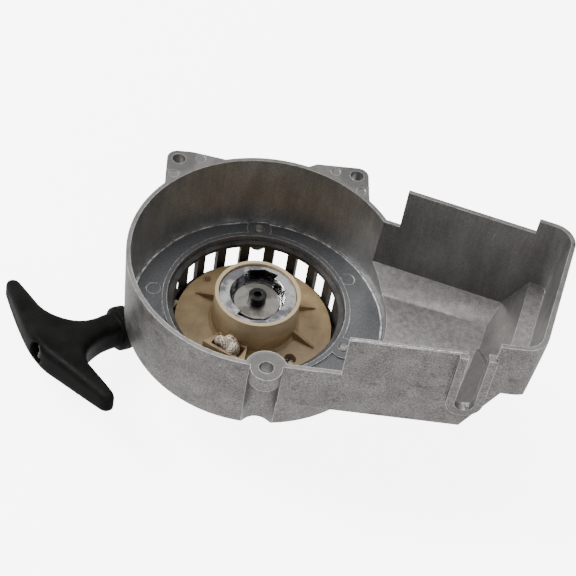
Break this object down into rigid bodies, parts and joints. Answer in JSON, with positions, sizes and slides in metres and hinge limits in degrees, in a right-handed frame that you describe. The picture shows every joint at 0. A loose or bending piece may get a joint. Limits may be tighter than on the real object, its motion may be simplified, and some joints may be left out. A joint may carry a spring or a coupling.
{
  "type": "recoil starter",
  "caption": "Pull starter of a small two-stroke engine: cast fan shroud with a duct, dished starter case, rope pulley with ratchet cup, and a T handle on a rope.",
  "frame": {"origin": "on the pulley axis, at the starter case's outer bottom face", "axes": "+Z along the pulley axis, from the starter towards the engine; +X along the line of the ear pair, towards the duct; +Y from ear C towards the ear pair"},
  "size_m": [0.2192, 0.1147, 0.089],
  "materials": {
    "cast_aluminium": "satin die casting",
    "case_aluminium": "dull pressed and cast",
    "zinc_steel": "zinc plated",
    "bright_cup": "bright plated",
    "black_screw": "black oxide",
    "spring_steel": "blued strip",
    "bronze": "sintered bronze",
    "tan_plastic": "moulded, glass filled",
    "black_plastic": "moulded",
    "rope": "braided"
  },
  "bodies": {
    "case": {"shroud_housing": "cast_aluminium", "starter_case": "case_aluminium", "case_screws": "zinc_steel", "case_washers": "zinc_steel", "centre_post": "zinc_steel", "thrust_washer": "zinc_steel", "retaining_washer": "zinc_steel", "centre_screw": "black_screw", "recoil_spring": "spring_steel", "spring_anchor_pin": "spring_steel", "spring_cover": "zinc_steel", "spring_cover_screws": "zinc_steel", "rope_lead": "rope", "rope_guide": "zinc_steel"},
    "pulley": {"rope_pulley": "tan_plastic", "pulley_bush": "bronze", "drive_cup": "bright_cup", "rope_coil": "rope", "rope_end_knot": "rope"},
    "handle": {"handle_grip": "black_plastic", "handle_knot": "rope", "handle_knot_washer": "zinc_steel", "rope_tail": "rope"}
  },
  "joints": [
    {"name": "handle_pull", "type": "slide", "parent": "case", "child": "handle", "axis": [-0.8441, -0.5072, 0.1736], "range_m": [0, 0.44], "stiffness_N_per_m": 20, "springref_m": -0.1},
    {"name": "pulley_spin", "type": "hinge", "parent": "case", "child": "pulley", "pos_m": [0, 0, 0], "axis": [0, 0, 1], "range_deg": [0, 1080], "deforming": ["recoil_spring"]}
  ],
  "couplings": [
    {"joint": "pulley_spin", "follows": "handle_pull", "rad_per_m": 41.67}
  ]
}
